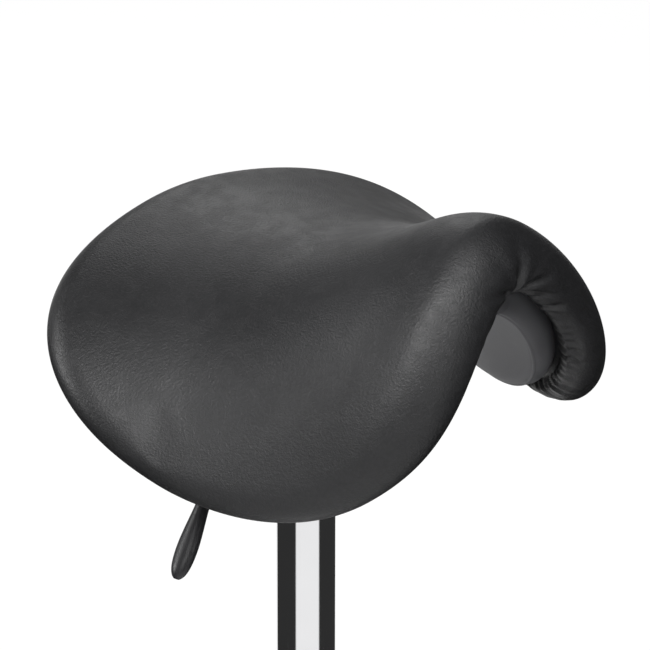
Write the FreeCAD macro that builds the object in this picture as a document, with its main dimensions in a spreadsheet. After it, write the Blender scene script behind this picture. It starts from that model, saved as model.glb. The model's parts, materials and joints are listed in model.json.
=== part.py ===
"""Saddle stool: a padded saddle seat on a gas lift with a five-armed caster base.

Millimetres and degrees. +Z is up, the floor is at z = 0 and the column's axis is the Z axis.
The pommel, the front of the seat, points to -Y, and the seat stands at its lowest height.
"""
import FreeCAD, Part

import math
import os
import re

import Sketcher

V = FreeCAD.Vector
Z_AXIS = V(0, 0, 1)
X_AXIS = V(1, 0, 0)

# Driving sizes: name, value, meaning
SIZES = (
    # Seat pad
    ("pad_mid_height", 545, "floor to the middle of the pad at its lowest point, seat down"),
    ("pad_thickness", 57, "pad from its top to the underside of its rim"),
    ("half_girth", 264, "from the ridge to the wing's edge, along the curve"),
    ("front_reach", 214, "column axis to the pommel's end"),
    ("back_reach", 150, "column axis to the back edge"),
    ("widest_at", -22, "where the pad is widest, along Y"),
    ("front_fullness", 2.9, "how far forward the pad keeps its width"),
    ("back_fullness", 2.5, "how far back the pad keeps its width"),
    ("front_corner", 2.0, "squareness of the front outline"),
    ("back_corner", 2.4, "squareness of the back outline"),
    ("ridge_half_front", 29, "half width of the ridge at the pommel"),
    ("ridge_half_back", 38, "half width of the ridge at the back"),
    ("ridge_radius_front", 44, "cross curve of the ridge at the pommel"),
    ("ridge_radius_middle", 290, "cross curve of the ridge over the column"),
    ("ridge_radius_back", 300, "cross curve of the ridge at the back"),
    ("flank_radius_front", 163, "cross curve of the wings at the pommel"),
    ("flank_radius_middle", 230, "cross curve of the wings over the column"),
    ("flank_radius_back", 1100, "cross curve of the wings at the back"),
    ("pommel_rise", 82, "rise of the ridge to the pommel"),
    ("pommel_power", 1.55, "how late the ridge rises"),
    ("nose_drop", 37, "how far the pommel's end turns down again"),
    ("nose_start", 0.6, "share of the rise after which the nose turns down"),
    ("tail_rise", 14, "rise of the pad to its back edge"),
    ("tail_power", 2.1, "how late the back rises"),
    ("lowest_at", -18, "where the ridge is lowest, along Y"),
    ("wing_sweep", 21, "how far the front sections lean, so that the wings reach forward"),
    ("end_roll", 28, "length over which the pad rounds off at its front and back"),
    ("cover_thickness", 1.2, "leatherette"),
    # Underside
    ("tuck_inset", 28, "rim's edge to the line where the cover is tucked up"),
    ("tuck_depth", 10, "depth of the tuck above the rim's underside"),
    ("shell_thickness", 10, "moulded ply"),
    ("shell_inset", 20, "rim's edge to the shell's edge"),
    ("pan_gap", 5, "crevice between the rim and the pan"),
    ("pan_drop", 22, "how far the pan bulges below the rim"),
    ("pan_wall", 2.5, "moulded pan"),
    ("pan_round", 22, "radius of the pan's rounded edge"),
    ("pan_screw_radius", 2, "screw shank"),
    ("pan_screw_head", 4, "radius of the screw head"),
    ("pan_screw_length", 38, "screw from its head to its tip"),
    ("layer_gap", 0.3, "between curved faces of two pieces that meet"),
    ("screw_gap", 0.1, "radial clearance of the pan screws"),
    ("pan_post_radius", 5, "posts that the pan's screws pass through"),
    # Block, plate and bolts
    ("block_length", 170, "along Y"),
    ("block_width", 120, "along X"),
    ("block_drop", 44, "middle of the pad down to the block's flat face"),
    ("block_gap", 0.5, "block to the pan's opening"),
    ("plate_length", 160, "along Y"),
    ("plate_width", 110, "along X"),
    ("plate_thickness", 3, "pressed steel"),
    ("plate_corner", 14, "corner radius"),
    ("bolt_radius", 4, "shank of the seat bolts"),
    ("bolt_gap", 0.25, "bolt to its hole"),
    ("bolt_half_x", 40, "bolt pattern, half of its width"),
    ("bolt_half_y", 60, "bolt pattern, half of its length"),
    ("bolt_head_radius", 7.5, "corners of the hexagon"),
    ("bolt_head_height", 5.3, "hexagon head"),
    ("washer_radius", 9, "washer under each head"),
    ("washer_thickness", 1.6, "washer under each head"),
    ("nut_flange_radius", 11, "flange of the tee nut"),
    ("nut_flange", 1.5, "flange of the tee nut"),
    ("nut_barrel_radius", 5, "barrel of the tee nut"),
    ("nut_barrel", 9, "barrel of the tee nut"),
    ("nut_seat_drop", 10, "middle of the pad down to the underside of the tee nut's flange"),
    # Socket and lever
    ("socket_radius", 19, "conical socket, outside"),
    ("socket_height", 66, "conical socket below the plate"),
    ("lever_angle", 185, "direction of the lever, from +X"),
    ("rod_radius", 4, "lever rod"),
    ("rod_gap", 2.5, "plate to the top of the rod"),
    ("rod_tail", 6, "rod past the column's axis"),
    ("pivot_reach", 26, "column axis to the lever's pin"),
    ("pin_radius", 2, "lever's pin"),
    ("pin_gap", 0.05, "radial clearance on the pin"),
    ("ear_thickness", 3, "ears that carry the pin"),
    ("ear_gap", 0.4, "rod to each ear"),
    ("ear_length", 12, "ears along the lever"),
    ("ear_drop", 11.5, "ears below the plate"),
    ("first_bend_reach", 36, "column axis to the rod's first bend"),
    ("second_bend_reach", 84, "column axis to the rod's second bend"),
    ("second_bend_drop", 26, "fall of the rod between the bends"),
    ("grip_reach", 167, "column axis to the widest part of the grip"),
    ("grip_fall", 115, "second bend down to the widest part of the grip"),
    ("bend_radius", 18, "rod's bends"),
    ("grip_length", 78, "whole grip"),
    ("grip_below", 27, "grip past its widest part"),
    ("grip_half_width", 9.5, "grip at its widest"),
    ("grip_half_depth", 6.5, "grip at its thickest"),
    ("grip_neck", 5.6, "radius of the grip's upper end"),
    ("pin_top_gap", 0.3, "rod to the release pin"),
    # Gas lift
    ("tube_radius", 25, "outer tube"),
    ("tube_wall", 1.8, "outer tube"),
    ("tube_bottom", 62, "floor to the tube's lower end"),
    ("tube_length", 295, "outer tube"),
    ("tube_taper", 1.25, "half angle of the tube's lower end"),
    ("tube_taper_length", 66, "tapered lower end"),
    ("bush_length", 70, "guide bush inside the tube"),
    ("bush_collar", 4, "guide bush above the tube"),
    ("slide_gap", 0.06, "radial clearance of the sliding fits"),
    ("lift_radius", 14, "pressure cylinder"),
    ("lift_wall", 1.5, "pressure cylinder"),
    ("lift_bottom", 92.3, "floor to the cylinder's lower end, seat down"),
    ("lift_top_gap", 17, "plate to the cylinder's top"),
    ("lift_taper", 1.4, "half angle of the cylinder's top"),
    ("lift_taper_length", 61, "tapered top"),
    ("lift_head", 36, "solid head at the top of the cylinder"),
    ("stroke", 200, "travel of the seat"),
    ("valve_radius", 3, "release pin"),
    ("valve_depth", 26, "release pin below the cylinder's top"),
    ("guide_height", 18, "rod guide"),
    ("guide_recess", 2, "rod guide above the cylinder's lower end"),
    ("spindle_radius", 5, "piston rod"),
    ("spindle_bottom", 57, "floor to the rod's lower end"),
    ("piston_height", 14, "piston"),
    ("piston_margin", 6, "piston above the rod guide with the seat up"),
    ("floor_drop", 2, "tube's floor above the tube's lower end"),
    ("floor_thickness", 3, "tube's floor"),
    ("race_thickness", 1.5, "bearing washers"),
    ("race_radius", 17, "bearing washers"),
    ("ball_radius", 2, "bearing balls"),
    ("ball_circle", 12.5, "bearing balls"),
    ("ball_gap", 0.05, "ball to each washer"),
    ("cage_thickness", 1.4, "ball cage"),
    ("buffer_radius", 15, "rubber buffer"),
    ("buffer_gap", 0.2, "buffer to the cylinder, seat down"),
    ("clip_thickness", 1.5, "clip in the rod's groove"),
    ("clip_radius", 8, "clip in the rod's groove"),
    ("clip_groove", 1, "depth of the rod's groove"),
    ("clip_washer_thickness", 1.5, "washer over the clip"),
    # Base
    ("hub_radius", 31, "base hub"),
    ("hub_bottom", 60, "floor to the hub"),
    ("hub_height", 62, "base hub"),
    ("hub_chamfer", 3, "hub's top edge"),
    ("base_radius", 246, "column axis to each caster's stem"),
    ("base_angle", 4, "direction of the first arm, from +X"),
    ("arm_wall", 2, "pressed steel"),
    ("arm_root_width", 38, "arm at the hub"),
    ("arm_tip_radius", 14, "rounded tip of the arm"),
    ("arm_root_bottom", 70, "floor to the arm at the hub"),
    ("arm_root_top", 117, "floor to the arm's top at the hub"),
    ("arm_tip_bottom", 55, "floor to the arm at its tip"),
    ("arm_tip_top", 79, "floor to the arm's top at its tip"),
    ("arm_crown", 4, "rise of the arm's top over a straight line"),
    ("arm_edge_round", 6, "rounded upper edges of the arm"),
    ("sleeve_radius", 9, "caster sleeve in the arm's tip"),
    # Casters
    ("stem_radius", 5.5, "stem in the arm"),
    ("stem_length", 21, "stem in the arm"),
    ("stem_flange_radius", 8.5, "stem's flange"),
    ("stem_pivot_radius", 4, "stem in the hood"),
    ("stem_pivot_length", 20, "stem in the hood"),
    ("stem_neck", 1, "depth of the ring's groove"),
    ("ring_height", 5, "grip ring"),
    ("ring_gap", 0.3, "stem to its sleeve"),
    ("caster_trail", 20, "stem to the wheels' axle"),
    ("caster_yaw", 65, "direction of the wheels, from each arm"),
    ("wheel_radius", 25, "caster wheel"),
    ("wheel_width", 18, "caster wheel"),
    ("wheel_gap", 0.5, "wheel to the hood's web"),
    ("wheel_rim", 4, "rim of the wheel"),
    ("wheel_web", 6, "disc of the wheel"),
    ("wheel_hub_radius", 7, "hub of the wheel"),
    ("web_width", 19, "hood between the wheels"),
    ("web_radius", 22, "hood between the wheels"),
    ("fender_gap", 1.3, "wheel to the fender"),
    ("fender_wall", 2, "fender"),
    ("fender_overhang", 17.5, "fender over each wheel"),
    ("fender_start", 15, "fender's lower end, from the horizontal behind the axle"),
    ("fender_sweep", 135, "angle that the fender covers"),
    ("boss_radius", 9, "hood's boss round the stem"),
    ("boss_top", 53, "floor to the top of the hood's boss"),
    ("axle_radius", 3, "wheel axle"),
    ("axle_gap", 0.05, "radial clearance on the axle"),
    ("axle_depth", 14, "axle in each wheel"),
)
VALUE = {name: float(value) for name, value, _ in SIZES}
BALL_COUNT = 8
ARM_COUNT = 5
PAD_STATIONS = 15
LAYER_STATIONS = 9

doc = FreeCAD.newDocument("SaddleStool")
sheet = doc.addObject("Spreadsheet::Sheet", "Sizes")
for row, (name, value, meaning) in enumerate(SIZES, start=1):
    sheet.set(f"A{row}", str(value))
    sheet.set(f"B{row}", meaning)
    sheet.setAlias(f"A{row}", name)
doc.recompute()

NODES = []


def bound(expression):
    """An expression on size names, written as the document reads it."""
    text = str(expression)
    return re.sub(r"[a-z_]+", lambda m: f"Sizes.{m[0]}" if m[0] in VALUE else m[0], text)


def number(expression):
    """The present value of an expression on size names."""
    found = sheet.evalExpression(bound(expression))
    return float(getattr(found, "Value", found))


def bind(obj, **properties):
    """Tie properties of an object to expressions."""
    for name, expression in properties.items():
        obj.setExpression(name.replace("__", "."), bound(expression))
    return obj


def at(obj, x="0", y="0", z="0"):
    return bind(obj, Placement__Base__x=x, Placement__Base__y=y, Placement__Base__z=z)


def node(obj, label):
    """Name a finished sub-part."""
    obj.Label = label
    NODES.append(obj)
    return obj


def cylinder(name, radius, height, x="0", y="0", z="0"):
    obj = doc.addObject("Part::Cylinder", name)
    bind(obj, Radius=radius, Height=height)
    return at(obj, x, y, z)


def box(name, length, width, height, x="0", y="0", z="0"):
    """A box centred on x and y, standing on z."""
    obj = doc.addObject("Part::Box", name)
    bind(obj, Length=length, Width=width, Height=height)
    return at(obj, f"{x} - ({length}) / 2", f"{y} - ({width}) / 2", z)


def cut(name, base, tool):
    obj = doc.addObject("Part::Cut", name)
    obj.Base = base
    obj.Tool = tool
    return obj


def fuse(name, *shapes):
    obj = doc.addObject("Part::MultiFuse", name)
    obj.Shapes = list(shapes)
    return obj


def common(name, *shapes):
    obj = doc.addObject("Part::MultiCommon", name)
    obj.Shapes = list(shapes)
    return obj


def compound(name, shapes):
    obj = doc.addObject("Part::Compound", name)
    obj.Links = list(shapes)
    return obj


def turned(obj, angle, x=0.0, y=0.0, z=0.0):
    """Turn a finished object about Z and move it."""
    turn = FreeCAD.Placement(V(x, y, z), FreeCAD.Rotation(Z_AXIS, angle))
    obj.Placement = turn.multiply(obj.Placement)
    return obj


def pin_point(sketch, geometry, end, pair):
    """Tie a point of a sketch to a pair of expressions."""
    for kind, expression in zip(("DistanceX", "DistanceY"), pair):
        rule = Sketcher.Constraint(kind, -1, 1, geometry, end, number(expression))
        index = sketch.addConstraint(rule)
        sketch.setExpression(f"Constraints[{index}]", bound(expression))


def polygon(sketch, points, arcs=()):
    """A closed outline with tied corners; arcs gives a side's number and a place on its arc."""
    corners = [V(number(a), number(b), 0) for a, b in points]
    count = len(corners)
    bulges = dict(arcs)
    for i, corner in enumerate(corners):
        after = corners[(i + 1) % count]
        if i in bulges:
            via = V(*(number(k) for k in bulges[i]), 0)
            sketch.addGeometry(Part.Arc(corner, via, after), False)
        else:
            sketch.addGeometry(Part.LineSegment(corner, after), False)
    ends = [arc_ends(corners, bulges, i) for i in range(count)]
    for i in range(count):
        after = (i + 1) % count
        sketch.addConstraint(Sketcher.Constraint("Coincident", i, ends[i][1], after, ends[after][0]))
    for i, pair in enumerate(points):
        pin_point(sketch, i, ends[i][0], pair)
    for i, pair in bulges.items():
        mark = sketch.addGeometry(Part.Point(V(*(number(k) for k in pair), 0)), True)
        pin_point(sketch, mark, 1, pair)
        sketch.addConstraint(Sketcher.Constraint("PointOnObject", mark, 1, i))


def arc_ends(corners, bulges, i):
    """First and last end of a side as a sketch numbers them: its arcs run anticlockwise."""
    if i not in bulges:
        return 1, 2
    start, stop = corners[i], corners[(i + 1) % len(corners)]
    via = V(*(number(k) for k in bulges[i]), 0)
    turn = (via - start).cross(stop - via).z
    return (1, 2) if turn > 0 else (2, 1)


def outline(body, name, plane, points):
    """A sketch on one of the body's own planes."""
    sketch = body.newObject("Sketcher::SketchObject", name)
    support = [f for f in body.Origin.OriginFeatures if f.Role == plane][0]
    sketch.AttachmentSupport = (support, [""])
    sketch.MapMode = "FlatFace"
    polygon(sketch, points)
    return sketch


def turning(name, points):
    """A body turned about Z from (radius, height) corners."""
    body = doc.addObject("PartDesign::Body", name)
    sketch = outline(body, f"{name}_profile", "XZ_Plane", points)
    turn = body.newObject("PartDesign::Revolution", f"{name}_turn")
    turn.Profile = sketch
    turn.ReferenceAxis = (sketch, ["V_Axis"])
    turn.Angle = 360
    return body


# Heights that several pieces share
PLATE_TOP = "(pad_mid_height - block_drop)"
PLATE_BOTTOM = f"({PLATE_TOP} - plate_thickness)"
SOCKET_BOTTOM = f"({PLATE_BOTTOM} - socket_height)"
ROD_Z = f"({PLATE_BOTTOM} - rod_gap - rod_radius)"
LIFT_TOP = f"({PLATE_BOTTOM} - lift_top_gap)"
LIFT_TAPER_START = f"({LIFT_TOP} - lift_taper_length)"
TUBE_TOP = "(tube_bottom + tube_length)"
TAPER_TOP = "(tube_bottom + tube_taper_length)"
FLOOR_TOP = "(tube_bottom + floor_drop + floor_thickness)"
RACE_TOP = f"({FLOOR_TOP} + race_thickness)"
BALL_Z = f"({RACE_TOP} + ball_gap + ball_radius)"
UPPER_RACE = f"({BALL_Z} + ball_radius + ball_gap)"
BUFFER_BOTTOM = f"({UPPER_RACE} + race_thickness)"
GUIDE_TOP = "(lift_bottom + guide_recess + guide_height)"
PISTON_BOTTOM = f"({GUIDE_TOP} + stroke + piston_margin)"
LIFT_BORE = "(lift_radius - lift_wall)"


def tube_outer(height):
    """Radius of the tube's tapered lower end at a height."""
    return f"(tube_radius - ({TAPER_TOP} - {height}) * tan(tube_taper * 1 deg))"


def lift_outer(height):
    """Radius of the cylinder's tapered top at a height."""
    return f"(lift_radius - ({height} - {LIFT_TAPER_START}) * tan(lift_taper * 1 deg))"


# Seat surface: one curved middle surface carries every layer of the seat

def between(front, middle, back, share):
    """Quadratic through three values at shares 0, 0.5 and 1."""
    return (front * (1 - share) * (1 - 2 * share) + 4 * middle * share * (1 - share)
            + back * share * (2 * share - 1))


def ridge_height(y):
    """Height of the ridge over its lowest point."""
    low = VALUE["lowest_at"]
    if y < low:
        share = (low - y) / (low + VALUE["front_reach"])
        start = VALUE["nose_start"]
        nose = max(0.0, (share - start) / (1 - start)) ** 2
        return VALUE["pommel_rise"] * share ** VALUE["pommel_power"] - VALUE["nose_drop"] * nose
    share = (y - low) / (VALUE["back_reach"] - low)
    return VALUE["tail_rise"] * share ** VALUE["tail_power"]


def half_width(y, inset):
    """Half girth at a station of an outline that lies inset from the pad's edge."""
    wide = VALUE["widest_at"]
    if y < wide:
        share = (wide - y) / (wide + VALUE["front_reach"] - inset)
        fullness, corner = VALUE["front_fullness"], VALUE["front_corner"]
    else:
        share = (y - wide) / (VALUE["back_reach"] - inset - wide)
        fullness, corner = VALUE["back_fullness"], VALUE["back_corner"]
    share = min(share, 1.0)
    return (VALUE["half_girth"] - inset) * (1 - share ** fullness) ** (1 / corner)


def light_arc(points):
    """A cubic edge along the arc through three points, which keeps the lofts' faces light."""
    arc = Part.Arc(*points).toShape()
    handle = 4 / 3 * math.tan((arc.LastParameter - arc.FirstParameter) / 4) * arc.Curve.Radius
    start, end = points[0], points[-1]
    leaving = arc.tangentAt(arc.FirstParameter)
    arriving = arc.tangentAt(arc.LastParameter)
    if leaving.dot(points[1] - start) < 0:
        leaving, arriving = arriving * -1, leaving * -1
    curve = Part.BezierCurve()
    curve.setPoles([start, start + leaving * handle, end - arriving * handle, end])
    return curve.toShape()


class Station:
    """The seat's cross curve at one place along Y: a ridge arc and two flank arcs."""

    def __init__(self, y, half):
        share = (y + VALUE["front_reach"]) / (VALUE["front_reach"] + VALUE["back_reach"])
        ridge = between(*(1 / VALUE[f"ridge_radius_{k}"] for k in ("front", "middle", "back")), share)
        flank = between(*(1 / VALUE[f"flank_radius_{k}"] for k in ("front", "middle", "back")), share)
        self.y = y
        self.half = half
        self.ridge_radius = 1 / ridge
        self.flank_radius = 1 / max(flank, 1 / 2000)
        self.ridge_half = (VALUE["ridge_half_front"] * (1 - share)
                           + VALUE["ridge_half_back"] * share)
        self.lean = math.radians(VALUE["wing_sweep"] * (1 - share))

    def angle(self, girth):
        """Tilt of the curve at a distance from the ridge along it."""
        on_ridge = min(girth, self.ridge_half)
        return on_ridge / self.ridge_radius + (girth - on_ridge) / self.flank_radius

    def point(self, girth, offset):
        """Point beside the curve, offset along its normal; girth is signed."""
        side = 1 if girth >= 0 else -1
        first = self.angle(min(abs(girth), self.ridge_half))
        tilt = self.angle(abs(girth))
        x = self.ridge_radius * math.sin(first)
        drop = self.ridge_radius * (1 - math.cos(first))
        x += self.flank_radius * (math.sin(tilt) - math.sin(first))
        drop += self.flank_radius * (math.cos(first) - math.cos(tilt))
        return self.place(side * (x + offset * math.sin(tilt)), offset * math.cos(tilt) - drop)

    def place(self, x, up):
        """In-plane place to a point of the seat."""
        base = VALUE["pad_mid_height"] + ridge_height(self.y)
        return V(x, self.y + up * math.sin(self.lean), base + up * math.cos(self.lean))

    def side(self, offset, reach):
        """The three arcs of one face, from the left edge to the right edge."""
        ridge = min(self.ridge_half, 0.5 * reach)
        stops = (-reach, -ridge, ridge, reach)
        arcs = []
        for a, b in zip(stops, stops[1:]):
            arcs.append(light_arc([self.point(k, offset) for k in (a, (a + b) / 2, b)]))
        return arcs

    def tip(self, girth, low, high, turn):
        """Point on the rounded edge, turned from the top by an angle."""
        middle, radius = (low + high) / 2, (high - low) / 2
        centre = self.point(girth, middle)
        tilt = self.angle(abs(girth)) * (1 if girth > 0 else -1)
        swing = turn if girth > 0 else -turn
        across = radius * math.sin(tilt + swing)
        up = radius * math.cos(tilt + swing)
        return centre + V(across, up * math.sin(self.lean), up * math.cos(self.lean))

    def wire(self, low, high, rounded):
        """Closed section between two offsets, with rounded or square edges."""
        reach = self.half - (high - low) / 2 if rounded else self.half
        top = self.side(high, reach)
        bottom = self.side(low, reach)
        ends = []
        for girth in (reach, -reach):
            if rounded:
                for quarter in (0, 1):
                    turns = [math.radians(90 * quarter + k) for k in (0, 45, 90)]
                    ends.append(light_arc([self.tip(girth, low, high, k) for k in turns]))
            else:
                ends.append(Part.makeLine(self.point(girth, high), self.point(girth, low)))
        return Part.Wire(Part.__sortEdges__(top + bottom + ends))


def layer(name, inset, low, high, rounded=True, fading=0.0, stations=LAYER_STATIONS, trim=1.0):
    """A loft along Y of sections that lie between two offsets from the seat's middle surface."""
    front = -VALUE["front_reach"] + inset + trim
    back = VALUE["back_reach"] - inset - trim
    wires = []
    for i in range(stations):
        y = (front + back) / 2 - (back - front) / 2 * math.cos(math.pi * i / (stations - 1))
        half = half_width(y, inset)
        scale = 1.0
        if fading:
            near = min(y - front, back - y) + trim
            scale = math.sqrt(max(0.0, 1 - max(0.0, 1 - near / fading) ** 2))
        middle, thick = (low + high) / 2, (high - low) / 2 * scale
        if rounded:
            thick = min(thick, 0.9 * half)
        section = doc.addObject("Part::Feature", f"{name}_section_{i + 1}")
        section.Shape = Station(y, half).wire(middle - thick, middle + thick, rounded)
        wires.append(section)
    loft = doc.addObject("Part::Loft", name)
    loft.Sections = wires
    loft.Solid = True
    return loft


def seat():
    """Cover, foam, shell, pan and block, from the same middle surface."""
    half = VALUE["pad_thickness"] / 2
    cover = VALUE["cover_thickness"]
    tuck = -half + VALUE["tuck_depth"]
    inset = VALUE["tuck_inset"]
    roll = VALUE["end_roll"]
    skin = layer("pad_outside", 0, -half, half, fading=roll, stations=PAD_STATIONS)
    core = layer("pad_inside", cover, cover - half, half - cover, fading=roll - cover,
                 stations=PAD_STATIONS)
    deep = -half - VALUE["pan_drop"] - 8
    hollow = layer("tuck_hollow", inset, deep, tuck + 5, rounded=False)
    foam_hollow = layer("foam_hollow", inset - cover, deep, tuck + 3, rounded=False)
    shell = layer("shell_board", VALUE["shell_inset"], tuck, tuck + VALUE["shell_thickness"],
                  rounded=False)
    padding = cut("padding", core, foam_hollow)
    open_skin = cut("cover_open", cut("cover_blank", skin, padding), hollow)
    node(cut("cover_skin", open_skin, shell), "seat_cover")

    seats = [cylinder(f"nut_counterbore_{i}", "nut_flange_radius", "nut_flange + 12", x, y,
                      "pad_mid_height - nut_seat_drop") for i, x, y in bolt_places()]
    bores = [cylinder(f"nut_bore_{i}", "nut_barrel_radius", "block_drop", x, y,
                      PLATE_TOP) for i, x, y in bolt_places()]
    holes = fuse("bolt_holes", *seats, *bores)
    low = -half - VALUE["pan_drop"]
    posts, drills, screws = pan_screws(low)
    screw_holes = compound("screw_holes", drills)
    node(cut("shell_drilled", cut("shell_bored", shell, screw_holes), holes), "seat_shell")
    node(cut("foam_body", cut("foam_blank", padding, shell), holes), "seat_foam")

    block = box("block_blank", "block_width", "block_length", "block_drop - 8", z=PLATE_TOP)
    above = layer("block_trim", VALUE["shell_inset"], tuck - VALUE["layer_gap"], tuck + 40,
                  rounded=False)
    trimmed = cut("block_trimmed", block, above)
    node(cut("block_drilled", trimmed, holes), "mounting_block")

    wall = VALUE["pan_wall"]
    high = low + 2 * VALUE["pan_round"]
    edge = inset + VALUE["pan_gap"]
    outside = layer("pan_outside", edge, low, high)
    inside = layer("pan_inside", edge + wall, low + wall, high - wall)
    opening = box("pan_opening", "block_width + 2 * block_gap", "block_length + 2 * block_gap",
                  "block_drop + 30", z="pad_mid_height - block_drop - 30")
    hull = cut("pan_hull", outside, inside)
    posted = fuse("pan_posted", hull, common("pan_posts", compound("post_blanks", posts), outside))
    under = layer("under_shell", VALUE["shell_inset"], deep, tuck - VALUE["layer_gap"],
                  rounded=False)
    below = common("pan_below", posted, under)
    pan = cut("pan_open", below, opening)
    node(cut("pan_drilled", pan, screw_holes), "underside_pan")
    node(compound("screws", screws), "pan_screws")


def pan_screws(low):
    """Six screws normal to the pan, with the posts that they pass through."""
    posts, screws, holes = [], [], []
    places = [(girth, y) for y in (-104, 98) for girth in (-118, 0, 118)]
    for i, (girth, y) in enumerate(places, start=1):
        before, station, after = (Station(y + k, VALUE["half_girth"]) for k in (-1, 0, 1))
        across = station.point(girth + 1, low) - station.point(girth - 1, low)
        normal = across.cross(after.point(girth, low) - before.point(girth, low)).normalize()
        outer = station.point(girth, low) - normal * VALUE["layer_gap"]
        turn = FreeCAD.Rotation(Z_AXIS, normal)
        post = doc.addObject("Part::Cylinder", f"post_{i}")
        bind(post, Radius="pan_post_radius", Height="tuck_depth + pan_drop + 2")
        shank = doc.addObject("Part::Cylinder", f"screw_shank_{i}")
        bind(shank, Radius="pan_screw_radius", Height="pan_screw_length")
        head = doc.addObject("Part::Sphere", f"screw_head_{i}")
        bind(head, Radius="pan_screw_head")
        head.Angle1 = -90
        head.Angle2 = 0
        hole = doc.addObject("Part::Cylinder", f"screw_hole_{i}")
        bind(hole, Radius="pan_screw_radius + screw_gap", Height="pan_screw_length + layer_gap")
        for piece in (post, shank, head, hole):
            piece.Placement = FreeCAD.Placement(outer, turn)
        posts.append(post)
        holes.append(hole)
        screws.append(fuse(f"screw_{i}", shank, head))
    return posts, holes, screws


def bolt_places():
    """Number, x and y of each seat bolt."""
    signs = ((-1, -1), (1, -1), (1, 1), (-1, 1))
    return [(i, f"{a} * bolt_half_x", f"{b} * bolt_half_y") for i, (a, b) in enumerate(signs, 1)]


def plate_and_bolts():
    """Steel plate under the block, with its bolts, washers and tee nuts."""
    body = doc.addObject("PartDesign::Body", "plate_blank")
    corners = [(f"{a} * plate_width / 2", f"{b} * plate_length / 2")
               for a, b in ((-1, -1), (1, -1), (1, 1), (-1, 1))]
    sketch = outline(body, "plate_outline", "XY_Plane", corners)
    pad = body.newObject("PartDesign::Pad", "plate_pad")
    pad.Profile = sketch
    bind(pad, Length="plate_thickness")
    doc.recompute()
    rounds = body.newObject("PartDesign::Fillet", "plate_corners")
    upright = [f"Edge{i}" for i, e in enumerate(pad.Shape.Edges, 1)
               if abs(e.Vertexes[0].Z - e.Vertexes[-1].Z) > VALUE["plate_thickness"] / 2]
    rounds.Base = (pad, upright)
    bind(rounds, Radius="plate_corner")
    at(body, z=PLATE_BOTTOM)
    holes, bolts, washers, nuts = [], [], [], []
    for i, x, y in bolt_places():
        holes.append(cylinder(f"plate_hole_{i}", "bolt_radius + bolt_gap", "3 * plate_thickness",
                              x, y, f"{PLATE_BOTTOM} - plate_thickness"))
        washer = cylinder(f"washer_{i}", "washer_radius", "washer_thickness", x, y,
                          f"{PLATE_BOTTOM} - washer_thickness")
        eye = cylinder(f"washer_eye_{i}", "bolt_radius + bolt_gap", "3 * washer_thickness", x, y,
                       f"{PLATE_BOTTOM} - 2 * washer_thickness")
        washers.append(cut(f"washer_ring_{i}", washer, eye))
        under = f"({PLATE_BOTTOM} - washer_thickness)"
        shank = cylinder(f"bolt_shank_{i}", "bolt_radius",
                         "block_drop - nut_seat_drop + plate_thickness + washer_thickness", x, y, under)
        head = doc.addObject("Part::Prism", f"bolt_head_{i}")
        head.Polygon = 6
        bind(head, Circumradius="bolt_head_radius", Height="bolt_head_height")
        at(head, x, y, f"{under} - bolt_head_height")
        bolts.append(fuse(f"bolt_{i}", shank, head))
        seat_z = "(pad_mid_height - nut_seat_drop)"
        flange = cylinder(f"nut_plate_{i}", "nut_flange_radius", "nut_flange", x, y, seat_z)
        barrel = cylinder(f"nut_barrel_{i}", "nut_barrel_radius", "nut_barrel", x, y,
                          f"{seat_z} - nut_barrel")
        thread = cylinder(f"nut_thread_{i}", "bolt_radius", "nut_barrel + nut_flange", x, y,
                          f"{seat_z} - nut_barrel")
        nuts.append(cut(f"nut_{i}", fuse(f"nut_blank_{i}", flange, barrel), thread))
    node(cut("plate_drilled", body, fuse("plate_holes", *holes)), "mounting_plate")
    node(compound("bolt_set", bolts), "seat_bolts")
    node(compound("washer_set", washers), "bolt_washers")
    node(compound("nut_set", nuts), "t_nuts")


def lever_piece(obj, label):
    """Turn a piece made in the XZ plane into the lever's direction."""
    return node(turned(obj, VALUE["lever_angle"]), label)


def across_pin(name, radius, length):
    """A cylinder on the lever pin's axis, in the XZ plane."""
    obj = doc.addObject("Part::Cylinder", name)
    bind(obj, Radius=radius, Height=length)
    place = V(number("pivot_reach"), number(length) / 2, number(ROD_Z))
    obj.Placement = FreeCAD.Placement(place, FreeCAD.Rotation(X_AXIS, 90))
    return obj


def bent_path(points, radius):
    """Edges of a path through points, with arcs of one radius at its corners."""
    edges = []
    start = points[0]
    for before, corner, after in zip(points, points[1:], points[2:]):
        inward = (before - corner).normalize()
        outward = (after - corner).normalize()
        half_turn = (math.pi - inward.getAngle(outward)) / 2
        trim = radius * math.tan(half_turn)
        a = corner + inward * trim
        b = corner + outward * trim
        middle_way = (inward + outward).normalize()
        depth = radius / math.cos(half_turn) - radius
        edges.append(Part.makeLine(start, a))
        edges.append(Part.Arc(a, corner + middle_way * depth, b).toShape())
        start = b
    edges.append(Part.makeLine(start, points[-1]))
    return edges


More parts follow.
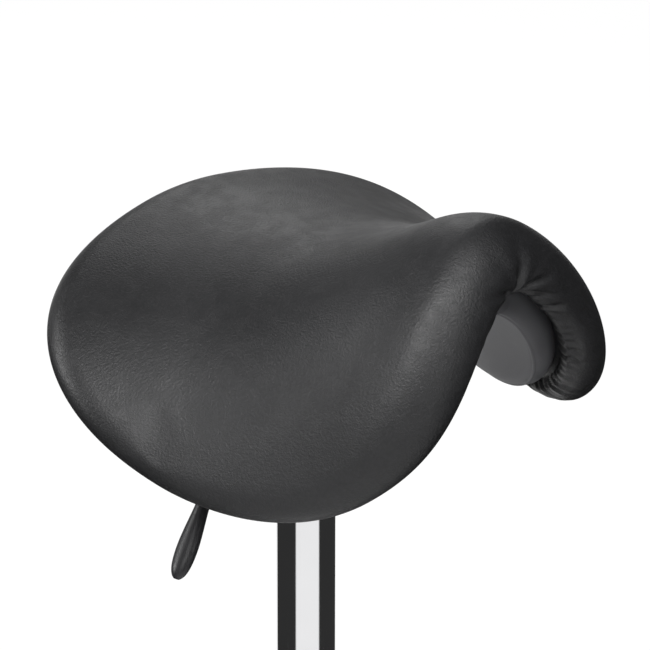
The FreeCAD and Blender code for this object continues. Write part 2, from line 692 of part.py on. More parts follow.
def lever():
    """Socket, ears, pin, rod and grip of the height lever."""
    profile = [
        (lift_outer(SOCKET_BOTTOM), SOCKET_BOTTOM),
        ("socket_radius", SOCKET_BOTTOM),
        ("socket_radius", PLATE_BOTTOM),
        (lift_outer(LIFT_TOP), PLATE_BOTTOM),
        (lift_outer(LIFT_TOP), LIFT_TOP),
    ]
    socket = turning("socket_blank", profile)
    window = box("socket_window", "socket_radius", "2 * rod_radius + 1", "lift_top_gap",
                 x="socket_radius", z=f"{LIFT_TOP} + 3")
    lever_piece(cut("socket_open", socket, window), "taper_socket")

    ears = []
    for side in (-1, 1):
        ears.append(box(f"ear_{side + 2}", "ear_length", "ear_thickness", "ear_drop",
                        x="pivot_reach",
                        y=f"{side} * (rod_radius + ear_gap + ear_thickness / 2)",
                        z=f"{PLATE_BOTTOM} - ear_drop"))
    span = "2 * (rod_radius + ear_gap + ear_thickness)"
    ear_bore = across_pin("ear_bore", "pin_radius", f"{span} + 4")
    lever_piece(cut("ears_bored", compound("ears", ears), ear_bore), "lever_ears")
    lever_piece(across_pin("pin_turned", "pin_radius", f"{span} + 2"), "lever_pin")

    level = number(ROD_Z)
    first = V(number("first_bend_reach"), 0, level)
    second = V(number("second_bend_reach"), 0, level - number("second_bend_drop"))
    wide = V(number("grip_reach"), 0, second.z - number("grip_fall"))
    along = (wide - second).normalize()
    grip_start = wide - along * (number("grip_length") - number("grip_below"))
    rod_end = wide + along * number("grip_below - 8")
    path = doc.addObject("Part::Feature", "rod_path")
    path.Shape = Part.Wire(bent_path([V(-number("rod_tail"), 0, level), first, second, rod_end],
                                     number("bend_radius")))
    ring = doc.addObject("Part::Circle", "rod_section")
    bind(ring, Radius="rod_radius")
    ring.Placement = FreeCAD.Placement(V(-number("rod_tail"), 0, level),
                                       FreeCAD.Rotation(Z_AXIS, X_AXIS))
    rod = doc.addObject("Part::Sweep", "rod_sweep")
    rod.Sections = [ring]
    rod.Spine = (path, [f"Edge{i}" for i in range(1, 6)])
    rod.Solid = True
    bore = across_pin("rod_bore", "pin_radius + pin_gap", "4 * rod_radius")
    lever_piece(cut("rod_bored", rod, bore), "lever_rod")

    turn = FreeCAD.Rotation(V(0, 1, 0), math.degrees(math.atan2(along.x, along.z)))
    sections = []
    whole = "grip_length"
    widest = "(grip_length - grip_below)"
    for i, (step, wide_by, deep_by) in enumerate((
            ("0", "grip_neck", "grip_neck"),
            (f"{widest} * 0.35", "grip_neck + 0.6", "grip_neck + 0.2"),
            (f"{widest} * 0.75", "grip_half_width * 0.9", "grip_half_depth"),
            (widest, "grip_half_width", "grip_half_depth"),
            (f"{whole} - grip_below * 0.4", "grip_half_width * 0.88", "grip_half_depth * 0.9"),
            (f"{whole} - grip_below * 0.1", "grip_half_width * 0.55", "grip_half_depth * 0.6"),
            (whole, "grip_half_width * 0.25", "grip_half_depth * 0.25"))):
        curve = doc.addObject("Part::Ellipse", f"grip_section_{i + 1}")
        bind(curve, MajorRadius=f"{wide_by} + 0.01", MinorRadius=deep_by)
        curve.Placement = FreeCAD.Placement(grip_start + along * number(step),
                                            turn.multiply(FreeCAD.Rotation(Z_AXIS, 90)))
        sections.append(curve)
    grip = doc.addObject("Part::Loft", "grip_loft")
    grip.Sections = sections
    grip.Solid = True
    lever_piece(cut("grip_bored", grip, rod), "lever_grip")


def column():
    """Outer tube, bush, pressure cylinder, rod and bearing."""
    bore = "(tube_radius - tube_wall)"
    node(turning("tube", [
        (f"{tube_outer('tube_bottom')} - tube_wall", "tube_bottom"),
        (tube_outer("tube_bottom"), "tube_bottom"),
        ("tube_radius", TAPER_TOP),
        ("tube_radius", TUBE_TOP),
        (bore, TUBE_TOP),
        (bore, TAPER_TOP),
    ]), "outer_tube")
    collar = f"({TUBE_TOP} + bush_collar)"
    node(turning("bush", [
        ("lift_radius + slide_gap", f"{TUBE_TOP} - bush_length"),
        (bore, f"{TUBE_TOP} - bush_length"),
        (bore, TUBE_TOP),
        ("tube_radius", TUBE_TOP),
        ("tube_radius - 2", collar),
        ("lift_radius + slide_gap", collar),
    ]), "guide_bush")
    low = "(tube_bottom + floor_drop)"
    node(turning("tube_floor_turned", [
        ("spindle_radius + 0.3", low),
        (f"{tube_outer(low)} - tube_wall", low),
        (f"{tube_outer(FLOOR_TOP)} - tube_wall", FLOOR_TOP),
        ("spindle_radius + 0.3", FLOOR_TOP),
    ]), "tube_floor")
    node(turning("lift", [
        (LIFT_BORE, "lift_bottom"),
        ("lift_radius", "lift_bottom"),
        ("lift_radius", LIFT_TAPER_START),
        (lift_outer(LIFT_TOP), LIFT_TOP),
        ("valve_radius + slide_gap", LIFT_TOP),
        ("valve_radius + slide_gap", f"{LIFT_TOP} - lift_head"),
        (LIFT_BORE, f"{LIFT_TOP} - lift_head"),
    ]), "gas_cylinder")
    pin_top = f"({ROD_Z} - rod_radius - pin_top_gap)"
    node(turning("valve", [
        ("0", f"{LIFT_TOP} - valve_depth"),
        ("valve_radius", f"{LIFT_TOP} - valve_depth"),
        ("valve_radius", f"{pin_top} - 2"),
        ("valve_radius / 3", pin_top),
        ("0", pin_top),
    ]), "release_pin")
    guide = "(lift_bottom + guide_recess)"
    node(turning("guide", [
        ("spindle_radius + slide_gap", guide),
        (LIFT_BORE, guide),
        (LIFT_BORE, GUIDE_TOP),
        ("spindle_radius + slide_gap", GUIDE_TOP),
    ]), "rod_guide")
    node(turning("piston_turned", [
        ("spindle_radius", PISTON_BOTTOM),
        (f"{LIFT_BORE} - slide_gap", PISTON_BOTTOM),
        (f"{LIFT_BORE} - slide_gap", f"{PISTON_BOTTOM} + piston_height"),
        ("spindle_radius", f"{PISTON_BOTTOM} + piston_height"),
    ]), "piston")
    clip_top = "(tube_bottom + floor_drop - 0.1 - clip_washer_thickness)"
    groove = "(spindle_radius - clip_groove)"
    node(turning("spindle", [
        ("0", "spindle_bottom"),
        ("spindle_radius", "spindle_bottom"),
        ("spindle_radius", f"{clip_top} - clip_thickness"),
        (groove, f"{clip_top} - clip_thickness"),
        (groove, clip_top),
        ("spindle_radius", clip_top),
        ("spindle_radius", f"{PISTON_BOTTOM} + piston_height + 2"),
        ("0", f"{PISTON_BOTTOM} + piston_height + 2"),
    ]), "piston_rod")
    clip = cut("clip_ring", cylinder("clip_disc", "clip_radius", "clip_thickness",
                                     z=f"{clip_top} - clip_thickness"),
               fuse("clip_void",
                    cylinder("clip_eye", groove, "3 * clip_thickness",
                             z=f"{clip_top} - 2 * clip_thickness"),
                    box("clip_mouth", "clip_radius", f"1.6 * {groove}", "3 * clip_thickness",
                        x="clip_radius / 2", z=f"{clip_top} - 2 * clip_thickness")))
    node(clip, "rod_clip")
    node(cut("clip_washer_ring",
             cylinder("clip_washer_disc", "clip_radius + 2", "clip_washer_thickness", z=clip_top),
             cylinder("clip_washer_eye", "spindle_radius", "3 * clip_washer_thickness",
                      z=f"{clip_top} - clip_washer_thickness")), "clip_washer")
    for label, height, gap in (("bearing_lower_washer", FLOOR_TOP, "0.3"),
                               ("bearing_upper_washer", UPPER_RACE, "0")):
        race = cylinder(f"{label}_disc", "race_radius", "race_thickness", z=height)
        eye = cylinder(f"{label}_eye", f"spindle_radius + {gap}", "3 * race_thickness",
                       z=f"{height} - race_thickness")
        node(cut(f"{label}_ring", race, eye), label)
    node(cut("buffer_ring",
             cylinder("buffer_disc", "buffer_radius", f"lift_bottom - buffer_gap - {BUFFER_BOTTOM}",
                      z=BUFFER_BOTTOM),
             cylinder("buffer_eye", "spindle_radius", "lift_bottom", z=BUFFER_BOTTOM)),
         "rubber_buffer")
    balls, pockets = [], []
    for i in range(BALL_COUNT):
        x = f"ball_circle * cos({i} * 360 deg / {BALL_COUNT})"
        y = f"ball_circle * sin({i} * 360 deg / {BALL_COUNT})"
        ball = doc.addObject("Part::Sphere", f"ball_{i + 1}")
        bind(ball, Radius="ball_radius")
        balls.append(at(ball, x, y, BALL_Z))
        pockets.append(cylinder(f"pocket_{i + 1}", "ball_radius + ball_gap", "3 * cage_thickness",
                                x, y, f"{BALL_Z} - 1.5 * cage_thickness"))
    node(compound("ball_set", balls), "bearing_balls")
    cage = cylinder("cage_disc", "race_radius - 0.5", "cage_thickness",
                    z=f"{BALL_Z} - cage_thickness / 2")
    eye = cylinder("cage_eye", "spindle_radius + 3", "3 * cage_thickness",
                   z=f"{BALL_Z} - 1.5 * cage_thickness")
    node(cut("cage_bored", cage, fuse("cage_holes", eye, *pockets)), "bearing_cage")


def arm_blank(name, inset):
    """An arm along +X from its side view and its plan; inset gives the hollow under it."""
    tip = "(base_radius + arm_tip_radius)"
    under = f"({inset} * 20)"
    side = doc.addObject("Sketcher::SketchObject", f"{name}_side")
    side.Placement = FreeCAD.Placement(V(0, 0, 0), FreeCAD.Rotation(X_AXIS, 90))
    middle = f"({tip} / 2)"
    polygon(side, [
        ("0", f"arm_root_bottom - {under}"),
        (tip, f"arm_tip_bottom - {under}"),
        (tip, f"arm_tip_top - {inset}"),
        ("0", f"arm_root_top - {inset}"),
    ], arcs=[(2, (middle, f"(arm_root_top + arm_tip_top) / 2 + arm_crown - {inset}"))])
    profile = doc.addObject("Part::Extrusion", f"{name}_profile")
    profile.Base = side
    profile.DirMode = "Custom"
    profile.Dir = V(0, 1, 0)
    profile.Solid = True
    profile.Symmetric = True
    bind(profile, LengthFwd="2 * arm_root_width")
    plan = doc.addObject("Sketcher::SketchObject", f"{name}_plan")
    root = f"(arm_root_width / 2 - {inset})"
    nose = f"(arm_tip_radius - {inset})"
    slope = f"(({root} - {nose}) / base_radius)"
    end = f"(base_radius + {nose} * {slope})"
    rise = f"({nose} * sqrt(1 - {slope} ^ 2))"
    polygon(plan, [("0", f"-1 * {root}"), (end, f"-1 * {rise}"), (end, rise), ("0", root)])
    strip = doc.addObject("Part::Extrusion", f"{name}_strip")
    strip.Base = plan
    strip.DirMode = "Custom"
    strip.Dir = V(0, 0, 1)
    strip.Solid = True
    bind(strip, LengthFwd="2 * arm_root_top")
    tip_round = cylinder(f"{name}_tip", nose, "2 * arm_root_top", x="base_radius")
    return common(name, profile, fuse(f"{name}_from_above", strip, tip_round))


def base():
    """Hub and five pressed arms with their caster sleeves."""
    top = "(hub_bottom + hub_height)"
    node(turning("hub", [
        (tube_outer("tube_bottom"), "hub_bottom"),
        ("hub_radius", "hub_bottom"),
        ("hub_radius", f"{top} - hub_chamfer"),
        ("hub_radius - hub_chamfer", top),
        (tube_outer(top), top),
        (tube_outer("tube_bottom"), "tube_bottom"),
    ]), "base_hub")
    for i in range(ARM_COUNT):
        name = f"arm_{i + 1}"
        blank = arm_blank(name, "0")
        doc.recompute()
        upper = doc.addObject("Part::Fillet", f"{name}_round")
        upper.Base = blank
        radius = number("arm_edge_round")
        upper.Edges = [(k, radius, radius) for k in top_edges(blank.Shape)]
        hollow = arm_blank(f"{name}_hollow", "arm_wall")
        clear = cylinder(f"{name}_hub_clear", "hub_radius", "2 * arm_root_top")
        channel = cut(f"{name}_channel", cut(f"{name}_open", upper, hollow), clear)
        pillar = cylinder(f"{name}_pillar", "sleeve_radius", "arm_root_top", x="base_radius",
                          z="arm_tip_bottom")
        sleeve = common(f"{name}_sleeve", pillar, upper)
        bore = cylinder(f"{name}_bore", "stem_radius + ring_gap", "stem_length + 1",
                        x="base_radius", z="arm_tip_bottom")
        arm = cut(f"{name}_bored", fuse(f"{name}_sleeved", channel, sleeve), bore)
        node(turned(arm, number("base_angle") + i * 360 / ARM_COUNT), f"base_arm_{i + 1}")


def top_edges(shape):
    """Numbers of the edges along an arm's upper rim."""
    found = []
    for k, edge in enumerate(shape.Edges, 1):
        ends = [v.Point for v in edge.Vertexes]
        middle = edge.CenterOfMass
        level = min(p.z for p in ends) > number("arm_tip_top - 1")
        if level and abs(middle.y) > number("arm_tip_radius / 2") or (
                level and middle.x > number("base_radius")):
            if edge.Length > 2:
                found.append(k)
    return found


def casters():
    """Five twin-wheel casters: stem, ring, hood, axle and two wheels."""
    stems, rings = [], []
    reach = number("base_radius")
    for i in range(ARM_COUNT):
        heading = number("base_angle") + i * 360 / ARM_COUNT
        x = reach * math.cos(math.radians(heading))
        y = reach * math.sin(math.radians(heading))
        stems.append(turned(stem(f"stem_{i + 1}"), 0, x, y))
        rings.append(turned(grip_ring(f"ring_{i + 1}"), heading, x, y))
        yaw = heading + number("caster_yaw")
        node(turned(hood(f"hood_{i + 1}"), yaw, x, y), f"caster_hood_{i + 1}")
        to_axle = V(number("caster_trail"), 0, number("wheel_radius"))
        turn = FreeCAD.Rotation(Z_AXIS, yaw)
        for label, side in (("left", 1), ("right", -1)):
            body = wheel(f"wheel_{label}_turned_{i + 1}")
            inner = V(0, side * number("web_width / 2 + wheel_gap"), 0)
            place = V(x, y, 0) + turn.multVec(to_axle + inner)
            body.Placement = FreeCAD.Placement(
                place, turn.multiply(FreeCAD.Rotation(X_AXIS, -90 * side)))
            node(body, f"wheel_{label}_{i + 1}")
        half = "(web_width / 2 + wheel_gap + axle_depth - 0.2)"
        axle = doc.addObject("Part::Cylinder", f"axle_{i + 1}")
        bind(axle, Radius="axle_radius", Height=f"2 * {half}")
        start = V(x, y, 0) + turn.multVec(to_axle + V(0, -number(half), 0))
        axle.Placement = FreeCAD.Placement(start, turn.multiply(FreeCAD.Rotation(X_AXIS, -90)))
        node(axle, f"caster_axle_{i + 1}")
    node(compound("stem_set", stems), "caster_stems")
    node(compound("ring_set", rings), "stem_rings")


def stem(name):
    """Stem with its flange, the pivot that the hood turns on and the ring's groove."""
    low = "arm_tip_bottom"
    neck = "(stem_radius - stem_neck)"
    ring_z = f"({low} + stem_length / 2)"
    flange = "(arm_tip_bottom - boss_top - 0.3)"
    return turning(name, [
        ("0", f"boss_top - stem_pivot_length"),
        ("stem_pivot_radius", f"boss_top - stem_pivot_length"),
        ("stem_pivot_radius", f"{low} - {flange}"),
        ("stem_flange_radius", f"{low} - {flange}"),
        ("stem_flange_radius", low),
        ("stem_radius", low),
        ("stem_radius", ring_z),
        (neck, ring_z),
        (neck, f"{ring_z} + ring_height"),
        ("stem_radius", f"{ring_z} + ring_height"),
        ("stem_radius", f"{low} + stem_length - 1"),
        ("stem_radius - 1", f"{low} + stem_length"),
        ("0", f"{low} + stem_length"),
    ])


def grip_ring(name):
    """Split spring ring that holds the stem in its sleeve."""
    low = "(arm_tip_bottom + stem_length / 2)"
    blank = cylinder(f"{name}_outer", "stem_radius + ring_gap", "ring_height", z=low)
    eye = cylinder(f"{name}_eye", "stem_radius - stem_neck", "3 * ring_height",
                   z=f"{low} - ring_height")
    slit = box(f"{name}_slit", "2 * stem_radius", "1.5", "3 * ring_height", x="stem_radius",
               z=f"{low} - ring_height")
    return cut(name, blank, fuse(f"{name}_void", eye, slit))


def hood(name):
    """Caster hood: web between the wheels, fender over them and the stem's boss."""
    def round_axle(part, radius, width, angle, start):
        obj = doc.addObject("Part::Cylinder", f"{name}_{part}")
        bind(obj, Radius=radius, Height=width, Angle=angle)
        tilt = FreeCAD.Rotation(V(0, 1, 0), -number(start)).multiply(FreeCAD.Rotation(X_AXIS, 90))
        place = V(number("caster_trail"), number(width) / 2, number("wheel_radius"))
        obj.Placement = FreeCAD.Placement(place, tilt)
        return obj

    fender = "(web_width + 2 * fender_overhang)"
    inner = "(wheel_radius + fender_gap)"
    web = round_axle("web", "web_radius", "web_width", "200", "-10")
    bearing = round_axle("bearing", "axle_radius + 4", "web_width", "360", "0")
    cap = cut(f"{name}_fender",
              round_axle("fender_outside", f"{inner} + fender_wall", fender, "fender_sweep",
                         "fender_start"),
              round_axle("fender_inside", inner, f"2 * {fender}", "360", "0"))
    rib = cut(f"{name}_rib",
              round_axle("rib_outside", f"{inner} + fender_wall / 2", "web_width", "fender_sweep",
                         "fender_start"),
              round_axle("rib_inside", "web_radius - 1", "2 * web_width", "360", "0"))
    boss_low = "(wheel_radius + 3)"
    boss = cylinder(f"{name}_boss", "boss_radius", f"boss_top - {boss_low}", z=boss_low)
    solid = fuse(f"{name}_solid", web, bearing, cap, rib, boss)
    bore = cylinder(f"{name}_bore", "stem_pivot_radius + axle_gap", "stem_pivot_length + 20",
                    z="boss_top - stem_pivot_length - 0.5")
    hole = round_axle("axle_hole", "axle_radius", "2 * web_width", "360", "0")
    return cut(name, solid, fuse(f"{name}_holes", bore, hole))


def wheel(name):
    """Wheel turned about Z, with its inner face at z = 0."""
    bore = "(axle_radius + axle_gap)"
    rim = "(wheel_radius - wheel_rim)"
    disc = "(wheel_width - wheel_web)"
    return turning(name, [
        ("0", "axle_depth"),
        (bore, "axle_depth"),
        (bore, "0"),
        ("wheel_hub_radius", "0"),
        ("wheel_hub_radius", disc),
        (rim, disc),
        (rim, "0"),
        ("wheel_radius - 1", "0"),
        ("wheel_radius", "1.5"),
        ("wheel_radius", "wheel_width - 3"),
        ("wheel_radius - 2.5", "wheel_width - 0.5"),
        ("wheel_radius * 0.4", "wheel_width"),
        ("0", "wheel_width"),
    ])


seat()
plate_and_bolts()
lever()
column()
base()
casters()
doc.recompute()

for obj in doc.Objects:
    if "Invalid" in obj.State or "Error" in obj.State:
        raise RuntimeError(f"{obj.Label} failed: {obj.State}")
os.makedirs("parts", exist_ok=True)
for obj in NODES:
    if obj.Shape.isNull() or not obj.Shape.isValid():
        raise RuntimeError(f"{obj.Label} has a bad shape")
for obj in NODES:
    obj.Shape.exportStep(f"parts/{obj.Label}.step")
    print(obj.Label, len(obj.Shape.Solids), round(obj.Shape.Volume))
print(len(NODES), "nodes")
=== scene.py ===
"""Saddle stool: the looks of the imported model."""

import json
import math
import random

import bmesh
import bpy
from bpy.props import FloatProperty, FloatVectorProperty, IntProperty, PointerProperty
from bpy.types import Operator, Panel, PropertyGroup
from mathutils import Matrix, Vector
from mathutils.bvhtree import BVHTree


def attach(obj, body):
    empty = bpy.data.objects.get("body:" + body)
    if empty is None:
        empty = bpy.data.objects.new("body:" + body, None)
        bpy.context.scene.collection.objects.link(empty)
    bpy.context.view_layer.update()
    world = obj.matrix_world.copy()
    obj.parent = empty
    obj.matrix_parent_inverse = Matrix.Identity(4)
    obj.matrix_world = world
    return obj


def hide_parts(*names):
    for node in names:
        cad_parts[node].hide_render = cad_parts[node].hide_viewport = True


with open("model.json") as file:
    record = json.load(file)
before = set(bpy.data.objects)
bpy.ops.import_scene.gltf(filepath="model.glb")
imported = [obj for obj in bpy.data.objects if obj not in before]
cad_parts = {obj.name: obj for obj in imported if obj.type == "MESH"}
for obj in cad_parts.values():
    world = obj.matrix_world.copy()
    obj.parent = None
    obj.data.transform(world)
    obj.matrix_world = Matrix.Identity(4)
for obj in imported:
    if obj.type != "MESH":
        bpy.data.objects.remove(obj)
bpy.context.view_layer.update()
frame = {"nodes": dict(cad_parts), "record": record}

bl_info = {
    "name": "Saddle Stool",
    "version": (1, 0, 0),
    "blender": (4, 5, 0),
    "location": "3D View > Sidebar > Stool",
    "description": "Cushion, finishes and studio for a saddle stool on a gas lift",
    "category": "Object",
}

MM = 0.001
SLOT_OF = {entry["node"]: entry["material_slot"] for entry in frame["record"]["subparts"]}


# Settings

class CushionSettings(PropertyGroup):
    half_girth: FloatProperty(
        name="Half girth", default=0.264, unit="LENGTH",
        description="Ridge to the rim's edge, along the saddle's widest cross curve")
    front_reach: FloatProperty(
        name="Front reach", default=0.214, unit="LENGTH",
        description="Column axis to the front of the pommel")
    back_reach: FloatProperty(
        name="Back reach", default=0.150, unit="LENGTH",
        description="Column axis to the back edge")
    thickness: FloatProperty(
        name="Thickness", default=0.057, unit="LENGTH",
        description="Pad thickness at the rim")
    height: FloatProperty(
        name="Height", default=0.545, unit="LENGTH",
        description="Floor to the middle of the pad at the ridge's lowest point")
    tuck: FloatProperty(
        name="Tuck", default=0.028, unit="LENGTH",
        description="Rim's edge to the crevice where the cover is tucked in")
    detail: IntProperty(
        name="Detail", default=64, min=16, max=96,
        description="Faces along each side of the cube that the cushion is pulled from")
    swell: FloatProperty(
        name="Swell", default=0.0035, unit="LENGTH",
        description="Most that the filled cover may move off the moulded foam")


class FinishSettings(PropertyGroup):
    leatherette: FloatVectorProperty(
        name="Leatherette", default=(0.014, 0.014, 0.015), subtype="COLOR", min=0, max=1,
        description="Cover of the cushion")
    pan: FloatVectorProperty(
        name="Pan", default=(0.075, 0.075, 0.08), subtype="COLOR", min=0, max=1,
        description="Moulded pan under the seat")
    plastic: FloatVectorProperty(
        name="Plastic", default=(0.018, 0.018, 0.02), subtype="COLOR", min=0, max=1,
        description="Grip, bush and caster hoods")
    chrome: FloatVectorProperty(
        name="Chrome", default=(0.86, 0.86, 0.87), subtype="COLOR", min=0, max=1,
        description="Column and base")


class StudioSettings(PropertyGroup):
    azimuth: FloatProperty(
        name="Azimuth", default=math.radians(-50.3), subtype="ANGLE",
        description="Camera direction round the column, 0 from the front")
    elevation: FloatProperty(
        name="Elevation", default=math.radians(21.0), subtype="ANGLE",
        description="Camera height above the horizon")
    distance: FloatProperty(
        name="Distance", default=3.0, unit="LENGTH",
        description="Camera to the column axis")
    lens: FloatProperty(
        name="Lens", default=201.4, unit="CAMERA",
        description="Focal length on a 36 mm sensor")
    floor: FloatVectorProperty(
        name="Floor", default=(0.93, 0.93, 0.93), subtype="COLOR", min=0, max=1,
        description="Floor under the stool")


# Shader maths

class Wire:
    """A socket of a finish; sums and products of wires add Math nodes."""

    def __init__(self, finish, socket):
        self.finish = finish
        self.socket = socket

    def math(self, operation, *others):
        return self.finish.math(operation, self, *others)

    def __add__(self, other):
        return self.math("ADD", other)

    def __sub__(self, other):
        return self.math("SUBTRACT", other)

    def __rsub__(self, other):
        return self.finish.math("SUBTRACT", other, self)

    def __mul__(self, other):
        return self.math("MULTIPLY", other)


class Finish:
    """A material and the nodes that make it."""

    def __init__(self, name, **constants):
        self.material = bpy.data.materials.new(name)
        self.material.use_nodes = True
        self.tree = self.material.node_tree
        self.shader = self.tree.nodes["Principled BSDF"]
        for key, value in constants.items():
            self.shader.inputs[key.replace("_", " ")].default_value = value

    @classmethod
    def of_world(cls, world):
        """The same way of writing nodes for a world."""
        made = cls.__new__(cls)
        made.tree = world.node_tree
        made.shader = made.tree.nodes["Background"]
        return made

    def add(self, kind, settings=None, inputs=None):
        """A node of a kind, its settings made first; returns its outputs by name."""
        node = self.tree.nodes.new(kind)
        for key, value in (settings or {}).items():
            if key == "stops":
                self.fill_ramp(node.color_ramp, value)
            else:
                setattr(node, key, value)
        for key, value in (inputs or {}).items():
            self.feed(self.socket(node, key), value)
        return {s.name: Wire(self, s) for s in node.outputs if s.enabled}

    def socket(self, node, key):
        if isinstance(key, int):
            return node.inputs[key]
        return next(s for s in node.inputs if s.enabled and s.name == key)

    def fill_ramp(self, ramp, stops):
        while len(ramp.elements) < len(stops):
            ramp.elements.new(0.5)
        for element, (place, shade) in zip(ramp.elements, stops):
            element.position = place
            element.color = (*shade, 1.0) if len(shade) == 3 else shade

    def feed(self, socket, value):
        if isinstance(value, Wire):
            self.tree.links.new(value.socket, socket)
        else:
            socket.default_value = value

    def math(self, operation, *values):
        return self.add("ShaderNodeMath", {"operation": operation}, dict(enumerate(values)))["Value"]

    def surface(self, **wires):
        """Feed the shader's varying inputs."""
        for key, value in wires.items():
            self.feed(self.shader.inputs[key.replace("_", " ")], value)

    def place(self):
        return self.add("ShaderNodeTexCoord")["Object"]

    def noise(self, scale, detail=2.0, rough=0.5, where=None):
        return self.add("ShaderNodeTexNoise", None, {
            "Vector": where or self.place(), "Scale": scale, "Detail": detail,
            "Roughness": rough})["Fac"]

    def cells(self, scale, feature="F1", smooth=0.0, where=None):
        settings = {"feature": feature}
        inputs = {"Vector": where or self.place(), "Scale": scale}
        if feature == "SMOOTH_F1":
            inputs["Smoothness"] = smooth
        return self.add("ShaderNodeTexVoronoi", settings, inputs)["Distance"]

    def ramp(self, wire, *stops):
        return self.add("ShaderNodeValToRGB", {"stops": stops}, {"Fac": wire})["Color"]

    def range(self, wire, low, high, to_low=0.0, to_high=1.0):
        return self.add("ShaderNodeMapRange", {"interpolation_type": "SMOOTHSTEP"}, {
            "Value": wire, "From Min": low, "From Max": high, "To Min": to_low,
            "To Max": to_high})["Result"]

    def blend(self, amount, first, second):
        return self.add("ShaderNodeMix", {"data_type": "RGBA"}, {
            "Factor": amount, "A": first, "B": second})["Result"]

    def bump(self, height, distance, strength=1.0):
        normal = self.add("ShaderNodeBump", None, {
            "Height": height, "Distance": distance, "Strength": strength})["Normal"]
        self.feed(self.shader.inputs["Normal"], normal)


def shade(colour, factor):
    """A colour made darker or lighter, with full alpha."""
    return tuple(min(1.0, c * factor) for c in colour[:3]) + (1.0,)


def leatherette_finish(colour):
    """Black leatherette: fine pebbled grain, slight mottling and a soft sheen."""
    f = Finish("leatherette", IOR=1.48)
    pebbles = f.cells(620.0, "SMOOTH_F1", 0.8)
    lines = f.cells(760.0, "DISTANCE_TO_EDGE")
    dimples = f.noise(480.0, 2.0)
    broad = f.noise(9.0, 3.0)
    patches = f.noise(70.0, 3.0)
    grain = f.range(lines, 0.0, 0.25) * 0.25 - pebbles * 0.8 + dimples * 1.3
    tone = f.range(broad, 0.3, 0.7) * 0.45 + f.range(f.noise(330.0, 2.0), 0.35, 0.65) * 0.55
    base = f.blend(tone, shade(colour, 0.78), shade(colour, 1.22))
    f.surface(Base_Color=base,
              Roughness=f.range(broad, 0.3, 0.7, 0.4, 0.47) + f.range(patches, 0.3, 0.7) * 0.05)
    f.bump(grain * f.range(patches, 0.25, 0.75, 0.7, 1.1), 0.00034, 0.7)
    return f.material


def pan_finish(colour):
    """Moulded plastic with a spark-eroded texture."""
    f = Finish("pan_plastic", IOR=1.46)
    fine = f.noise(900.0, 3.0)
    broad = f.noise(14.0)
    base = f.blend(f.range(broad, 0.3, 0.7), shade(colour, 0.9), shade(colour, 1.12))
    f.surface(Base_Color=base, Roughness=f.range(broad, 0.3, 0.7, 0.5, 0.58))
    f.bump(fine, 0.00012, 0.5)
    return f.material


def satin_plastic_finish(name, colour, rough=0.42):
    """Satin moulded plastic with faint flow marks."""
    f = Finish(name, IOR=1.47)
    broad = f.noise(30.0, 3.0)
    fine = f.noise(1100.0, 2.0)
    base = f.blend(f.range(broad, 0.35, 0.65), shade(colour, 0.9), shade(colour, 1.15))
    f.surface(Base_Color=base, Roughness=f.range(broad, 0.3, 0.7, rough - 0.04, rough + 0.04))
    f.bump(fine, 0.00006, 0.4)
    return f.material


def chrome_finish(colour):
    """Polished chrome plate with faint polishing haze."""
    f = Finish("chromed_steel", Metallic=1.0)
    haze = f.noise(22.0, 4.0)
    fine = f.noise(420.0, 2.0)
    base = f.blend(f.range(haze, 0.3, 0.7), shade(colour, 0.97), shade(colour, 1.0))
    f.surface(Base_Color=base, Roughness=f.range(haze, 0.35, 0.7, 0.05, 0.085) + fine * 0.015)
    f.bump(fine, 0.00001, 0.15)
    return f.material


def steel_finish(name, colour, rough):
    """Zinc or ground steel with fine marks along it."""
    f = Finish(name, Metallic=1.0)
    stretched = f.add("ShaderNodeMapping", None, {
        "Vector": f.place(), "Scale": (700.0, 700.0, 60.0)})["Vector"]
    marks = f.noise(1.0, 3.0, where=stretched)
    spangle = f.cells(260.0)
    base = f.blend(f.range(spangle, 0.0, 0.9), shade(colour, 0.88), shade(colour, 1.05))
    f.surface(Base_Color=base, Roughness=f.range(marks, 0.3, 0.7, rough - 0.06, rough + 0.06))
    f.bump(marks, 0.00002, 0.3)
    return f.material


def powder_finish(name, colour):
    """Powder coat with a fine orange peel."""
    f = Finish(name, IOR=1.5)
    peel = f.noise(520.0, 2.0)
    broad = f.noise(18.0)
    base = f.blend(f.range(broad, 0.3, 0.7), shade(colour, 0.9), shade(colour, 1.15))
    f.surface(Base_Color=base, Roughness=f.range(broad, 0.3, 0.7, 0.36, 0.44))
    f.bump(peel, 0.00008, 0.5)
    return f.material


def ply_finish():
    """Birch ply: rings along the board and plies at its edges."""
    f = Finish("ply", IOR=1.45)
    stretched = f.add("ShaderNodeMapping", None, {
        "Vector": f.place(), "Scale": (60.0, 7.0, 400.0)})["Vector"]
    streaks = f.noise(1.0, 4.0, where=stretched)
    base = f.ramp(streaks, (0.3, (0.34, 0.22, 0.12)), (0.55, (0.52, 0.37, 0.22)),
                  (0.75, (0.62, 0.47, 0.3)))
    f.surface(Base_Color=base, Roughness=f.range(streaks, 0.3, 0.7, 0.55, 0.7))
    f.bump(streaks, 0.0001, 0.4)
    return f.material


def rubber_finish():
    """Black moulded rubber."""
    f = Finish("buffer_rubber", IOR=1.5)
    fine = f.noise(700.0, 3.0)
    base = f.blend(fine, (0.02, 0.02, 0.02, 1.0), (0.035, 0.035, 0.035, 1.0))
    f.surface(Base_Color=base, Roughness=f.range(fine, 0.3, 0.7, 0.65, 0.8))
    f.bump(fine, 0.0001, 0.4)
    return f.material


